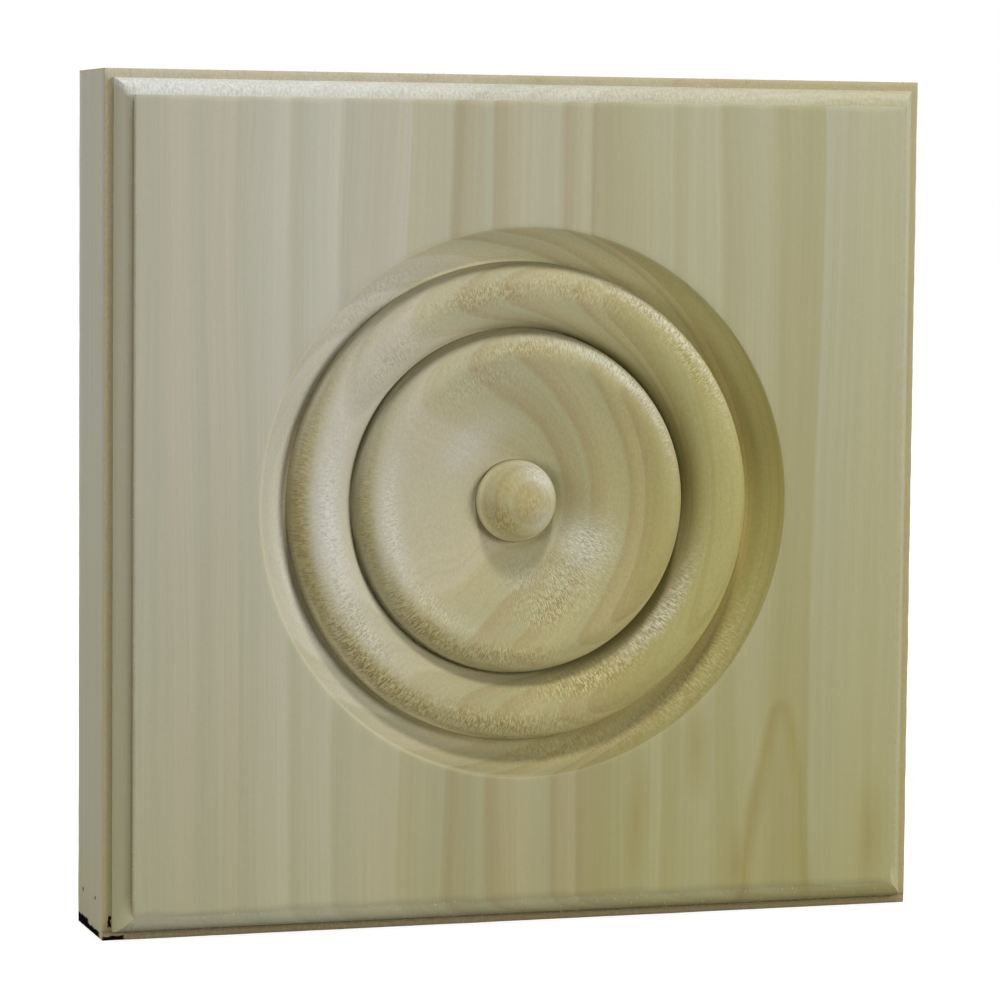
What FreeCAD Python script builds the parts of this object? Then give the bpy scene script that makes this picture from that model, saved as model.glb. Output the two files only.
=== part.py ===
"""Corner rosette block: a square block of trim with a moulded edge and a turned bull's-eye face."""
import FreeCAD, Part
import math
import os

from FreeCAD import Vector

# Blank, in millimetres. The back lies on the plane y = 0, the face looks along -Y and the grain runs along Z.
block_side = 114.3
block_thickness = 19.05

# Moulded edge, from the side inwards: a flat shoulder, a quarter-round ovolo and a small step up to the face
shoulder_width = 1.2
ovolo_radius = 2.2
face_step = 1.0

# Rosette widths, from the centre outwards
button_radius = 5.6
groove_width = 0.9
dish_width = 16.65
disc_wall_spread = 0.25
ring_width = 8.8
ring_wall_spread = 0.15
cove_width = 4.55

# Rosette depths, below the face
button_top_depth = 1.0
dish_depth = 4.9
groove_depth = 0.6
disc_crest_depth = 1.0
disc_root_depth = 5.0
ring_crest_depth = 0.4
ring_root_depth = 4.3

# Rosette curves
button_shoulder_radius = 4.0
disc_shoulder_radius = 3.0
ring_shoulder_radius = 3.0
cove_hollow = 0.2

# The largest share of a wall that the rounding above it may take up
rounded_share = 0.9

# How far the cutters run past the wood that they remove
cutter_overrun = 2.0

# Radii and levels that follow from the sizes above
half_side = block_side / 2
face_inset = shoulder_width + ovolo_radius
shoulder_depth = face_step + ovolo_radius
groove_radius = button_radius + groove_width
disc_radius = groove_radius + dish_width
disc_root_radius = disc_radius + disc_wall_spread
ring_radius = disc_root_radius + ring_width
ring_root_radius = ring_radius + ring_wall_spread
rim_radius = ring_root_radius + cove_width


def section_point(reach, depth):
    """A point of the rosette's section: reach from its axis, depth below the face."""
    return Vector(reach, depth - block_thickness, 0)


def line(start, end):
    return Part.LineSegment(start, end).toShape()


def bowed_arc(start, end, hollow):
    """An arc whose middle lies the given distance off its chord, deeper into the wood."""
    chord = end - start
    across = Vector(chord.y, -chord.x, 0).normalize()
    if across.y < 0:
        across = -across
    middle = (start + end) * 0.5 + across * hollow
    return Part.Arc(start, middle, end).toShape()


def crest_arc(start, crest):
    """A convex arc from start that comes level at the crest."""
    run = start.x - crest.x
    fall = start.y - crest.y
    radius = (run * run + fall * fall) / (2 * fall)
    half_turn = math.atan2(abs(run), radius - fall) / 2
    outwards = math.copysign(radius * math.sin(half_turn), run)
    middle = crest + Vector(outwards, radius * (1 - math.cos(half_turn)), 0)
    return Part.Arc(start, middle, crest).toShape()


def shoulder_limit(radius, root_depth, crest_depth):
    """A shoulder's radius, limited by the wall that it rounds off."""
    return min(radius, rounded_share * (root_depth - crest_depth))


def round_over(centre, radius, turn):
    """The rounded edge of a disc, from its upright wall up and over to a turn past the wall."""

    def on_edge(angle):
        return centre + Vector(radius * math.cos(angle), -radius * math.sin(angle), 0)

    return Part.Arc(on_edge(0), on_edge(turn / 2), on_edge(turn)).toShape(), on_edge(turn)


def cone_slope(centre, radius, foot):
    """The slope of the straight dish that runs from the foot and meets a rounded edge without a ridge."""
    span = math.hypot(centre.x - foot.x, centre.y - foot.y)
    return math.atan2(foot.y - centre.y, centre.x - foot.x) + math.asin(radius / span)


def crown_turn(centre, radius, top):
    """How far a button's rounded edge turns before it meets its crown, which comes level over the axis."""
    height = centre.y - top.y
    crown_radius = (centre.x * centre.x + height * height - radius * radius) / (2 * (height - radius))
    return math.atan2(crown_radius - height, centre.x)


def moulding_cutter():
    """What one pass takes off the top edge of the face. It runs past both ends, so that two passes form a mitre."""
    start_x = -half_side - cutter_overrun

    def edge_point(inset, depth):
        return Vector(start_x, depth - block_thickness, half_side - inset)

    lean = ovolo_radius * (1 - math.sqrt(0.5))
    step_top = edge_point(face_inset, -cutter_overrun)
    step_foot = edge_point(face_inset, face_step)
    ovolo_middle = edge_point(shoulder_width + lean, face_step + lean)
    quirk = edge_point(shoulder_width, shoulder_depth)
    shoulder_end = edge_point(-cutter_overrun, shoulder_depth)
    outer_top = edge_point(-cutter_overrun, -cutter_overrun)
    section = Part.Wire([
        line(outer_top, step_top),
        line(step_top, step_foot),
        Part.Arc(step_foot, ovolo_middle, quirk).toShape(),
        line(quirk, shoulder_end),
        line(shoulder_end, outer_top),
    ])
    return Part.Face(section).extrude(Vector(block_side + 2 * cutter_overrun, 0, 0))


def rosette_cutter():
    """The form cutter's sweep: its section, from the rim in to the button, turned about the block's centre."""
    ring_shoulder = shoulder_limit(ring_shoulder_radius, ring_root_depth, ring_crest_depth)
    disc_shoulder = shoulder_limit(disc_shoulder_radius, disc_root_depth, disc_crest_depth)
    rim = section_point(rim_radius, 0)
    ring_root = section_point(ring_root_radius, ring_root_depth)
    ring_wall_top = section_point(ring_radius, ring_crest_depth + ring_shoulder)
    ring_crest = section_point(ring_radius - ring_shoulder, ring_crest_depth)
    disc_root = section_point(disc_root_radius, disc_root_depth)
    disc_wall_top = section_point(disc_radius, disc_crest_depth + disc_shoulder)
    disc_edge_centre = section_point(disc_radius - disc_shoulder, disc_crest_depth + disc_shoulder)
    dish_foot = section_point(groove_radius, dish_depth)
    groove_foot = section_point(button_radius, dish_depth + groove_depth)
    button_shoulder = shoulder_limit(button_shoulder_radius, dish_depth + groove_depth, button_top_depth)
    button_edge_centre = section_point(button_radius - button_shoulder, dish_depth + groove_depth)
    button_top = section_point(0, button_top_depth)
    axis_outside = section_point(0, -cutter_overrun)
    rim_outside = section_point(rim_radius, -cutter_overrun)
    over_the_edge = math.pi / 2 + cone_slope(disc_edge_centre, disc_shoulder, dish_foot)
    disc_edge, dish_top = round_over(disc_edge_centre, disc_shoulder, over_the_edge)
    up_to_crown = crown_turn(button_edge_centre, button_shoulder, button_top)
    button_edge, crown_foot = round_over(button_edge_centre, button_shoulder, up_to_crown)
    section = Part.Wire([
        bowed_arc(rim, ring_root, cove_hollow),
        line(ring_root, ring_wall_top),
        crest_arc(ring_wall_top, ring_crest),
        crest_arc(disc_root, ring_crest),
        line(disc_root, disc_wall_top),
        disc_edge,
        line(dish_top, dish_foot),
        line(dish_foot, groove_foot),
        button_edge,
        crest_arc(crown_foot, button_top),
        line(button_top, axis_outside),
        line(axis_outside, rim_outside),
        line(rim_outside, rim),
    ])
    return Part.Face(section).revolve(Vector(0, 0, 0), Vector(0, 1, 0), 360)


def rosette_block():
    """The blank, with a moulding pass along each edge and the rosette sunk in its face."""
    block = Part.makeBox(block_side, block_thickness, block_side, Vector(-half_side, -block_thickness, -half_side))
    for quarter in range(4):
        edge_pass = moulding_cutter()
        edge_pass.rotate(Vector(0, 0, 0), Vector(0, 1, 0), 90 * quarter)
        block = block.cut(edge_pass)
    block = block.cut(rosette_cutter())
    if len(block.Solids) != 1 or not block.isValid():
        raise ValueError("the block is not one valid solid")
    return block.Solids[0]


os.makedirs("parts", exist_ok=True)
rosette_block().exportStep("parts/rosette_block.step")
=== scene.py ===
"""Corner rosette block: the surface and finish of a machined poplar block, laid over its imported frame."""
import math
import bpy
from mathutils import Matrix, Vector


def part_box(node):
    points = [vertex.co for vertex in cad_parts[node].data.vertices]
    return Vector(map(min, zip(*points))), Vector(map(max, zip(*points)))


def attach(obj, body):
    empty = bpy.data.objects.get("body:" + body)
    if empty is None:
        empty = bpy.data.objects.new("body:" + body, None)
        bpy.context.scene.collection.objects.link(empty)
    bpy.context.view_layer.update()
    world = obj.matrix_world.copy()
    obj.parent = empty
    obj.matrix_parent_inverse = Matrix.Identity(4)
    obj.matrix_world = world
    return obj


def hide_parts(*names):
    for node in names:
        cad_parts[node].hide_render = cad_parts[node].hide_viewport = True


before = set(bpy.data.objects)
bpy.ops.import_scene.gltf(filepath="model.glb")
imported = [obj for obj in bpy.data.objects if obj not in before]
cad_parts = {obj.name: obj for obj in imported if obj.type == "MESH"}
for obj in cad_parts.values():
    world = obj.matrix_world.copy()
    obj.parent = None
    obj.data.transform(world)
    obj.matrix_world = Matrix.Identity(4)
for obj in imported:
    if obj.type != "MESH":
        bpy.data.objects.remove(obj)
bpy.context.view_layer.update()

from types import SimpleNamespace

import bpy
import numpy as np
from mathutils import Matrix, Vector

bl_info = {
    "name": "Corner rosette block",
    "version": (1, 0, 0),
    "blender": (4, 5, 0),
    "location": "3D View > Sidebar > Rosette",
    "description": "Builds a machined poplar rosette block over its packed frame, and a studio for it",
    "category": "Object",
}

MM = 0.001
NODE = "rosette_block"
LOW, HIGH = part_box(NODE)

# Columns of the block's mesh round the rosette's axis. A multiple of eight puts one on each mitre.
COLUMNS = 600

# Rows of the mesh, as shares of the way out over the face, down a side and in over the back
FACE_ROWS = (0.03, 0.12, 0.3, 0.55, 0.8)
SIDE_ROWS = (0.12, 0.3, 0.5, 0.7, 0.88)
BACK_ROWS = (0.05, 0.2, 0.45, 0.75)

# Points of the moulded edge's section before its ovolo
LIP_POINTS = 5

# How deep a point lies at least on the moulded edge, on the step's lip and on its swollen part, and a small allowance
MOULDED_FROM = 0.3 * MM
LIP_FROM = 0.04 * MM
SWOLLEN_FROM = 0.02 * MM
ALLOWANCE = 0.1 * MM

# The least and most wear of an arris, as multiples of its size, and how many columns a worn spot spans
LEAST_WEAR, MOST_WEAR = 0.4, 3.2
WEAR_SPAN = 5
WEAR_SEED = 6

# Along the bottom: added wear, the share of the step that swollen fibres fill, and how soon they end past the mitres
BOTTOM_WEAR = 0.4
SWELLING = 0.85
SWELLING_END = 40

# The angle in degrees past which two faces of the mesh keep a sharp edge
SHARP_ANGLE = 38

# Raised fibres: the least frayed share that has any, how far they stand up and stray, their bend and their sizes
FRAYED_FROM = 0.25
FIBRE_RISE = 0.3
FIBRE_STRAY = 0.7
FIBRE_BEND = 0.5
FIBRE_SIZES = (0.45, 1.25)

# The floor's half side in metres, and what the lamps look at
FLOOR_REACH = 4.0
LAMP_AIM = (0, -0.015, 0)

# The lamps: name, direction from there, and distance and width in metres
LAMPS = (
    ("key", (0.05, -0.27, 0.961), 0.7, 0.11),
    ("right", (0.7, -0.68, 0.2), 0.8, 0.3),
    ("left", (-0.95, -0.25, 0.0), 0.8, 0.4),
    ("back", (-0.1, 0.95, 0.3), 0.8, 0.5),
)

# The nodes that the materials use most
MATH = "ShaderNodeMath"
VECTOR = "ShaderNodeVectorMath"
RANGE = "ShaderNodeMapRange"
MIX = "ShaderNodeMix"
NOISE = "ShaderNodeTexNoise"
SHARE = "ShaderNodeAttribute"
JOIN = "ShaderNodeCombineXYZ"
SPLIT = "ShaderNodeSeparateXYZ"


def linear(hex_code):
    """An sRGB hex colour as linear red, green, blue and alpha."""
    parts = [int(hex_code[i:i + 2], 16) / 255 for i in (0, 2, 4)]
    return [c / 12.92 if c <= 0.04045 else ((c + 0.055) / 1.055) ** 2.4 for c in parts] + [1.0]


def length(name, description, millimetres):
    """A size in metres whose default is written in millimetres."""
    return bpy.props.FloatProperty(name=name, description=description, default=millimetres * MM,
                                   unit="LENGTH", precision=5)


def tint(name, description, hex_code):
    """A colour whose default is written as sRGB hex."""
    return bpy.props.FloatVectorProperty(name=name, description=description, default=linear(hex_code),
                                         size=4, min=0, max=1, subtype="COLOR")


def angle(name, description, degrees):
    """An angle whose default is written in degrees."""
    return bpy.props.FloatProperty(name=name, description=description, default=math.radians(degrees),
                                   subtype="ANGLE")


def number(name, description, value, unit="NONE"):
    """A plain number, or one with a unit."""
    return bpy.props.FloatProperty(name=name, description=description, default=value, unit=unit)


class BlockSizes(bpy.types.PropertyGroup):
    """The block's outline, moulded edge and rosette section."""
    side: length("Side", "Width and height of the block", (HIGH.x - LOW.x) / MM)
    thickness: length("Thickness", "From the back to the face", (HIGH.y - LOW.y) / MM)
    shoulder_width: length("Shoulder", "Flat strip outside the ovolo", 1.2)
    ovolo_radius: length("Ovolo", "Radius of the quarter round", 2.2)
    face_step: length("Step", "Small step from the ovolo up to the face", 1.0)
    arris: length("Arris", "How far each sharp edge is worn round", 0.14)
    button_radius: length("Button radius", "Radius of the button in the middle", 5.6)
    groove_radius: length("Groove radius", "Outside of the quirk round the button", 6.5)
    disc_radius: length("Disc radius", "Edge of the dished disc", 23.15)
    disc_root_radius: length("Disc root radius", "Foot of the disc's wall", 23.4)
    ring_radius: length("Ring radius", "Edge of the ring", 32.2)
    ring_root_radius: length("Ring root radius", "Foot of the ring's wall", 32.35)
    rim_radius: length("Rim radius", "Edge of the cove in the face", 36.9)
    button_top_depth: length("Button depth", "Top of the button below the face", 1.0)
    dish_depth: length("Dish depth", "Foot of the dish below the face", 4.9)
    groove_depth: length("Groove depth", "Quirk below the foot of the dish", 0.6)
    disc_crest_depth: length("Disc crest depth", "Crest of the disc below the face", 1.0)
    disc_root_depth: length("Disc root depth", "Foot of the disc's wall below the face", 5.0)
    ring_crest_depth: length("Ring crest depth", "Crest of the ring below the face", 0.4)
    ring_root_depth: length("Ring root depth", "Foot of the ring's wall below the face", 4.3)
    button_shoulder_radius: length("Button shoulder", "Rounding of the button's edge", 4.0)
    disc_shoulder_radius: length("Disc shoulder", "Rounding of the disc's edge", 3.0)
    ring_shoulder_radius: length("Ring shoulder", "Rounding of the ring's edge", 3.0)
    cove_hollow: length("Cove hollow", "How far the cove sags below a straight cone", 0.2)


class PoplarLook(bpy.types.PropertyGroup):
    """The wood's colours, its growth rings and the torn grain."""
    pith_across: length("Pith across", "Where the tree's centre lies across the block", 50.0)
    pith_ahead: length("Pith ahead", "How far the tree's centre lies in front of the face", 190.0)
    sap_pale: tint("Palest sapwood", "Palest greyish stripes", "b5b2a3")
    sap_grey: tint("Grey sapwood", "Cool pale stripes", "aaa895")
    sap_pink: tint("Pinkish sapwood", "Warm pale stripes", "b2ac9a")
    late_line: tint("Late wood", "Brownish line where a ring ends", "a0977c")
    middle_green: tint("Greenish middle", "Cool stripes between sapwood and heartwood", "a7a58e")
    middle_warm: tint("Warm middle", "Warm stripes between sapwood and heartwood", "aca68d")
    heart_pale: tint("Pale heartwood", "Light greenish stripes", "a9a68b")
    heart_olive: tint("Olive heartwood", "Yellowish green wood", "a29d7d")
    heart_deep: tint("Deep heartwood", "Golden lines round the figure of the heartwood", "958857")
    # This tint makes the block darker and yellower toward the bottom and the right
    drift: tint("Heartwood drift", "Yellower wood low down on the pith's side", "f2eecb")
    cut_tint: tint("Turned wood", "How the cutter tints the rosette on the pith's side", "f5f2c4")
    cut_pale: tint("Fresh wood", "How the cutter cools and dulls the whole rosette", "e8e6e8")
    end_tint: tint("Cut ends", "Sawn ends of the fibres", "ab9d74")
    # Brown of the bottom's shoulder, and painted shade on the small step at the left
    shoulder_brown_and_step_shade: tint("Shoulder", "Rough brownish wood on the shoulder", "8f8060")
    # Painted shade for the crease at the foot of the lowest ovolo
    crease_shade: tint("Crevice", "Burnished dark wood at the foot of the lowest ovolo", "5c4826")
    torn_olive: tint("Torn wood", "Golden olive wood where the cutter met the grain head on", "9c8a3f")
    torn_pale: tint("Lifted fibres", "Pale frayed fibres", "d8cf9e")
    torn_dark: tint("Torn pits", "Dark pits where fibres are gone", "6d622d")
    # Whitish bruising, and also a painted highlight on slopes and edges that face the lamps
    haze: tint("Bruised wood", "Whitish bruised wood beside the tears", "d2d5d6")
    # The colour of the black marks at the lower left corner
    black_mark: tint("Stain", "Black marks at the lower left corner", "14110e")
    roughness: number("Roughness", "Dullness of bare wood", 0.7)
    sheen: number("Sheen", "How much bare wood mirrors", 0.06)
    pore_depth: length("Pore depth", "Relief of the open pores", 0.012)
    tear_depth: length("Tear depth", "Relief of the tears", 0.2)
    stroke_width: length("Stroke width", "Width of one tear", 0.22)
    stroke_length: length("Stroke length", "Length of one tear", 0.7)
    fibre_length: length("Fibre length", "Length of a raised fibre", 0.38)
    fibre_radius: length("Fibre radius", "Radius of a raised fibre at its foot", 0.05)
    fibre_density: number("Fibre density", "Raised fibres per square millimetre where all is torn", 7.0)


class StudioStage(bpy.types.PropertyGroup):
    """The camera at the photograph's angle, and plain soft lamps."""
    lens: number("Lens", "Focal length on a 36 mm sensor", 146.06, "CAMERA")
    camera_place: bpy.props.FloatVectorProperty(name="Camera", description="Where the camera stands",
                                                default=(-0.16932, -0.53376, 0.04283), subtype="TRANSLATION")
    yaw: angle("Yaw", "How far the camera looks to the right", 17.816)
    pitch: angle("Pitch", "How far the camera looks down", 4.473)
    roll: angle("Roll", "How far the camera leans", -0.555)
    key_power: number("Key", "Lamp above the block", 3.7, "POWER")
    right_power: number("Right", "Wide lamp at the right", 4.3, "POWER")
    left_power: number("Left", "Lamp at the left", 4.4, "POWER")
    back_power: number("Back", "Lamp behind the block", 2.5, "POWER")
    surround: number("Surround", "Light from all round", 0.08)


def add(tree, kind, inputs=(), operation=None, **settings):
    """Adds a node with its settings and what goes into its sockets, by name or in order: a value, an output, or a
    node's first output."""
    node = tree.nodes.new(kind)
    if operation:
        node.operation = operation
    for name, value in settings.items():
        setattr(node, name, value)
    for socket, value in inputs.items() if isinstance(inputs, dict) else enumerate(inputs):
        if isinstance(value, bpy.types.Node):
            value = next(output for output in value.outputs if output.enabled)
        if isinstance(value, bpy.types.NodeSocket):
            tree.links.new(value, node.inputs[socket])
        else:
            node.inputs[socket].default_value = value
    return node


def straight(start, end, count):
    """Points from start towards end, without the end itself."""
    part = np.linspace(0, 1, count, endpoint=False)[:, None]
    return np.array(start) * (1 - part) + np.array(end) * part


def bowed(start, end, hollow, count):
    """A straight run that sags by the given amount in its middle, deeper into the wood."""
    part = np.linspace(0, 1, count, endpoint=False)
    run = straight(start, end, count)
    chord = np.array(end) - np.array(start)
    across = np.array([chord[1], -chord[0]]) / np.hypot(*chord)
    if across[1] < 0:
        across = -across
    return run + across * (4 * hollow * part * (1 - part))[:, None]


def crested(start, crest, count, falling=False):
    """A convex arc between start and a crest where it comes level, from start, or from the crest when falling."""
    run = start[0] - crest[0]
    fall = start[1] - crest[1]
    radius = (run * run + fall * fall) / (2 * fall)
    turn = math.atan2(abs(run), radius - fall)
    ends = (0, turn) if falling else (turn, 0)
    angles = np.linspace(*ends, count, endpoint=False)
    return np.column_stack([crest[0] + math.copysign(1, run) * radius * np.sin(angles),
                            crest[1] + radius * (1 - np.cos(angles))])


def round_over(centre, radius, foot, count):
    """A disc's rounded edge, from its upright wall over to where a straight dish from the foot meets it."""
    span = math.hypot(centre[0] - foot[0], centre[1] - foot[1])
    slope = math.atan2(foot[1] - centre[1], centre[0] - foot[0]) + math.asin(radius / span)
    angles = np.linspace(0, math.pi / 2 + slope, count)
    return np.column_stack([centre[0] + radius * np.cos(angles), centre[1] - radius * np.sin(angles)])


def domed(foot, top, radius, count):
    """A button's rounded edge, upright at its foot, and the crown that it meets, without the top itself."""
    inward = foot[0] - radius
    height = foot[1] - top[1]
    crown_radius = (inward ** 2 + height ** 2 - radius ** 2) / (2 * (height - radius))
    turn = math.atan2(crown_radius - height, inward)
    angles = np.linspace(0, turn, count)
    edge = np.column_stack([inward + radius * np.cos(angles), foot[1] - radius * np.sin(angles)])
    return np.vstack([edge[:-1], crested(edge[-1], top, count)])


def rosette_section(s):
    """The turned section from the rim in to the button: reach from the axis and depth below the face."""
    ring_root = (s.ring_root_radius, s.ring_root_depth)
    ring_wall_top = (s.ring_radius, s.ring_crest_depth + s.ring_shoulder_radius)
    ring_crest = (s.ring_radius - s.ring_shoulder_radius, s.ring_crest_depth)
    disc_root = (s.disc_root_radius, s.disc_root_depth)
    disc_wall_top = (s.disc_radius, s.disc_crest_depth + s.disc_shoulder_radius)
    disc_edge_centre = (s.disc_radius - s.disc_shoulder_radius, s.disc_crest_depth + s.disc_shoulder_radius)
    dish_foot = (s.groove_radius, s.dish_depth)
    groove_foot = (s.button_radius, s.dish_depth + s.groove_depth)
    button_top = (0.0, s.button_top_depth)
    disc_edge = round_over(disc_edge_centre, s.disc_shoulder_radius, dish_foot, count=14)
    return np.vstack([
        [(s.rim_radius + s.arris, 0.0), (s.rim_radius + 0.3 * s.arris, 0.2 * s.arris)],
        bowed((s.rim_radius - 0.6 * s.arris, 0.7 * s.arris), ring_root, s.cove_hollow, count=15),
        straight(ring_root, ring_wall_top, count=5),
        crested(ring_wall_top, ring_crest, count=12),
        crested(disc_root, ring_crest, count=20, falling=True),
        straight(disc_root, disc_wall_top, count=5),
        disc_edge[:-1],
        straight(disc_edge[-1], dish_foot, count=33),
        straight(dish_foot, groove_foot, count=2),
        domed(groove_foot, button_top, s.button_shoulder_radius, count=9),
    ])


def edge_section(s, wear, swelling=0.0):
    """The moulded edge from the face out to the back: inset from the side and depth below the face. Swollen fibres lift
    the ovolo toward the face."""
    inset = s.shoulder_width + s.ovolo_radius
    foot = s.face_step + s.ovolo_radius
    a = s.arris * wear
    riser = 0.5 * (s.face_step - swelling) + 0.5 * a
    turns = np.linspace(0, math.pi / 2, 8)
    ovolo_depth = foot - (s.ovolo_radius + swelling) * np.cos(turns)
    return np.vstack([
        [(inset + 3 * a, 0), (inset + a, 0), (inset + 0.3 * a, 0.3 * a), (inset, a), (inset, riser)],
        np.column_stack([inset - s.ovolo_radius * np.sin(turns), ovolo_depth]),
        [(0.5 * s.shoulder_width, foot), (a, foot), (0.3 * a, foot + 0.3 * a), (0, foot + a)],
        [(0, foot + part * (s.thickness - foot)) for part in SIDE_ROWS],
        [(0, s.thickness - a), (0.3 * a, s.thickness - 0.3 * a), (a, s.thickness)],
        [(part * s.side / 2, s.thickness) for part in BACK_ROWS],
    ])


def worn_edge(s, across, up):
    """The moulded edge's section at every column, given the directions of the columns."""
    # Each arris is worn unevenly along its length, and most along the bottom
    spots = np.random.default_rng(WEAR_SEED).random(COLUMNS + WEAR_SPAN - 1)
    wear = np.convolve(spots, np.full(WEAR_SPAN, 1 / WEAR_SPAN), "valid")
    wear[up < -abs(across)] += BOTTOM_WEAR
    wear = wear.clip(0, 1)
    sharp, worn = edge_section(s, LEAST_WEAR), edge_section(s, MOST_WEAR)
    swollen = edge_section(s, LEAST_WEAR, SWELLING * s.face_step)
    low = ((-up - abs(across)) * SWELLING_END + 1).clip(0, 1)
    edge = sharp[:, :, None] * (1 - wear) + worn[:, :, None] * wear + (swollen - sharp)[:, :, None] * low
    edge[:LIP_POINTS, 1] = np.minimum(edge[:LIP_POINTS, 1], edge[LIP_POINTS, 1])
    return edge


# Where the cutter tore the grain: clock position and spread in hours, reach and half width in mm, and then how much of
# the patch is strokes, whitish wood and olive torn wood. The whitish share is partly bruising and partly a painted
# highlight on slopes that face the lamps, such as the ring's slope at the left
TORN_PATCHES = (
    # Ring, outer round from the left down to the bottom, and its whitish crest, partly bruising and partly painted
    # highlight
    (8.7, 1.3, 31.4, 1.2, 0.5, 0.0, 0.9),
    (7.4, 0.9, 30.7, 1.5, 1.0, 0.1, 0.8),
    (6.3, 0.8, 30.2, 1.9, 0.75, 0.1, 0.5),
    (8.8, 0.9, 27.6, 1.7, 0.35, 0.75, 0.0),
    (7.9, 0.5, 28.2, 1.3, 0.8, 0.45, 0.1),
    # Ring, inner slope at the lower right
    (4.3, 0.6, 25.5, 1.0, 1.0, 0.5, 0.0),
    (5.3, 0.6, 26.0, 1.6, 0.8, 0.0, 0.35),
    # Ring, at the top
    (11.6, 0.55, 28.6, 1.6, 0.7, 0.1, 0.3),
    (12.4, 0.5, 29.2, 1.5, 0.55, 0.15, 0.3),
    (1.4, 0.8, 31.0, 1.0, 0.8, 0.5, 0.0),
    (1.7, 0.4, 29.8, 0.9, 0.7, 0.1, 0.3),
    (10.6, 0.4, 27.0, 1.6, 0.6, 0.4, 0.1),
    # Disc, its rounded edge
    (8.7, 1.1, 22.2, 1.0, 0.4, 0.0, 0.7),
    (7.3, 0.9, 21.7, 1.4, 0.9, 0.1, 0.75),
    (6.3, 0.7, 20.8, 1.5, 0.75, 0.1, 0.45),
    (8.7, 0.9, 19.0, 1.4, 0.4, 0.6, 0.0),
    (7.4, 0.6, 18.6, 1.3, 0.6, 0.3, 0.1),
    (1.3, 1.2, 21.9, 0.9, 0.6, 0.65, 0.0),
    (12.0, 0.8, 20.6, 1.1, 0.6, 0.1, 0.3),
    # Dish
    (4.1, 0.6, 11.0, 3.4, 1.0, 0.75, 0.0),
    (4.9, 0.7, 12.5, 3.8, 1.0, 0.2, 0.0),
    (5.5, 0.6, 14.5, 2.8, 1.0, 0.1, 0.1),
    (5.9, 0.5, 10.0, 2.2, 0.7, 0.3, 0.1),
    (11.2, 0.7, 17.5, 2.2, 0.5, 0.2, 0.15),
    (10.6, 0.9, 10.5, 3.0, 0.2, 0.5, 0.0),
    # Cove
    (10.7, 0.5, 34.8, 1.5, 0.45, 0.3, 0.0),
    (4.5, 0.8, 34.8, 1.6, 0.4, 0.1, 0.2),
    (5.6, 0.6, 34.0, 1.4, 0.35, 0.0, 0.2),
    (2.6, 0.9, 36.2, 1.1, 0.0, 0.0, 0.45),
    (8.5, 0.7, 33.6, 1.1, 0.0, 0.4, 0.0),
    # Button
    (7.6, 1.6, 3.6, 1.7, 0.5, 0.0, 0.6),
    (4.0, 6.0, 0.6, 1.8, 0.4, 0.0, 0.4),
    (1.4, 1.3, 4.3, 1.4, 0.1, 0.7, 0.0),
    (10.5, 1.3, 3.0, 1.6, 0.2, 0.0, 0.35),
    (4.2, 1.2, 3.6, 1.5, 0.0, 0.4, 0.0),
)


def torn_shares(across, up):
    """How much of each point of the face is strokes, bruised wood and olive torn wood, by its place in metres."""
    reach = np.hypot(across, up) / MM
    clock = (np.degrees(np.arctan2(across, up)) / 30) % 12
    shares = np.zeros((3, len(reach)))
    for hour, spread, middle, width, *amounts in TORN_PATCHES:
        hours_off = (clock - hour + 6) % 12 - 6
        patch = np.exp(-(hours_off / spread) ** 2 - ((reach - middle) / width) ** 2)
        shares = np.maximum(shares, np.outer(amounts, patch))
    return shares


def edge_shares(s, across, up, depth):
    """How much of each point of the moulded edge is frayed, whitened and olive; the whitening is painted light. It is
    frayed along the top, on the bottom's ovolo, and on the step's lip along the left and the bottom."""
    side = s.side / 2 - np.maximum(abs(across), abs(up))
    rightward = (across / s.side + 0.5).clip(0, 1)
    on_ovolo = side > s.shoulder_width
    inset = s.shoulder_width + s.ovolo_radius
    foot = s.face_step + s.ovolo_radius
    moulded = (depth > MOULDED_FROM) & (depth < foot + ALLOWANCE) & (side < inset + ALLOWANCE)
    crossing = moulded & (abs(up) > abs(across))
    top = crossing & (up > 0)
    bottom = crossing & (up < 0)
    left = moulded & ~crossing & (across < 0)
    right = moulded & ~crossing & (across > 0)
    step = (depth < s.face_step) & (side < 2 * s.ovolo_radius)
    lip = step & (depth > LIP_FROM) & (side > s.shoulder_width + 0.9 * s.ovolo_radius) & (across + up < 0)
    bottom_lip = step & (depth > SWOLLEN_FROM) & on_ovolo & (-up > abs(across))
    frayed = top * (0.5 + 0.35 * rightward) + 0.9 * lip + 0.45 * on_ovolo * bottom
    # Painted light: a painted highlight whitens the top's ovolo and shoulder, most at the left; a little painted light
    # whitens the bottom's ovolo and step lip at the left, lifting their shade, and the right ovolo
    bruised = bottom_lip * (0.15 - 0.1 * rightward)
    bruised += top * np.where(on_ovolo, 1.0 - 0.65 * rightward, 0.3 - 0.3 * rightward)
    bruised += on_ovolo * (0.1 * bottom * (1 - rightward) + 0.15 * right)
    olive = on_ovolo * (0.3 * top * rightward + 0.35 * bottom * rightward) + 0.18 * left
    return frayed, bruised, olive


def round_faces(count):
    """Faces between each ring of points and the next, and between the first and the last ring and their poles, which
    come after the rings."""
    first = np.arange(COLUMNS)
    after = (first + 1) % COLUMNS
    faces = []
    for ring in range(count - 1):
        low, high = ring * COLUMNS, (ring + 1) * COLUMNS
        faces += np.column_stack([low + first, low + after, high + after, high + first]).tolist()
    last, front = (count - 1) * COLUMNS, count * COLUMNS
    faces += np.column_stack([np.full(COLUMNS, front), first, after]).tolist()
    faces += np.column_stack([np.full(COLUMNS, front + 1), last + after, last + first]).tolist()
    return faces


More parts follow.
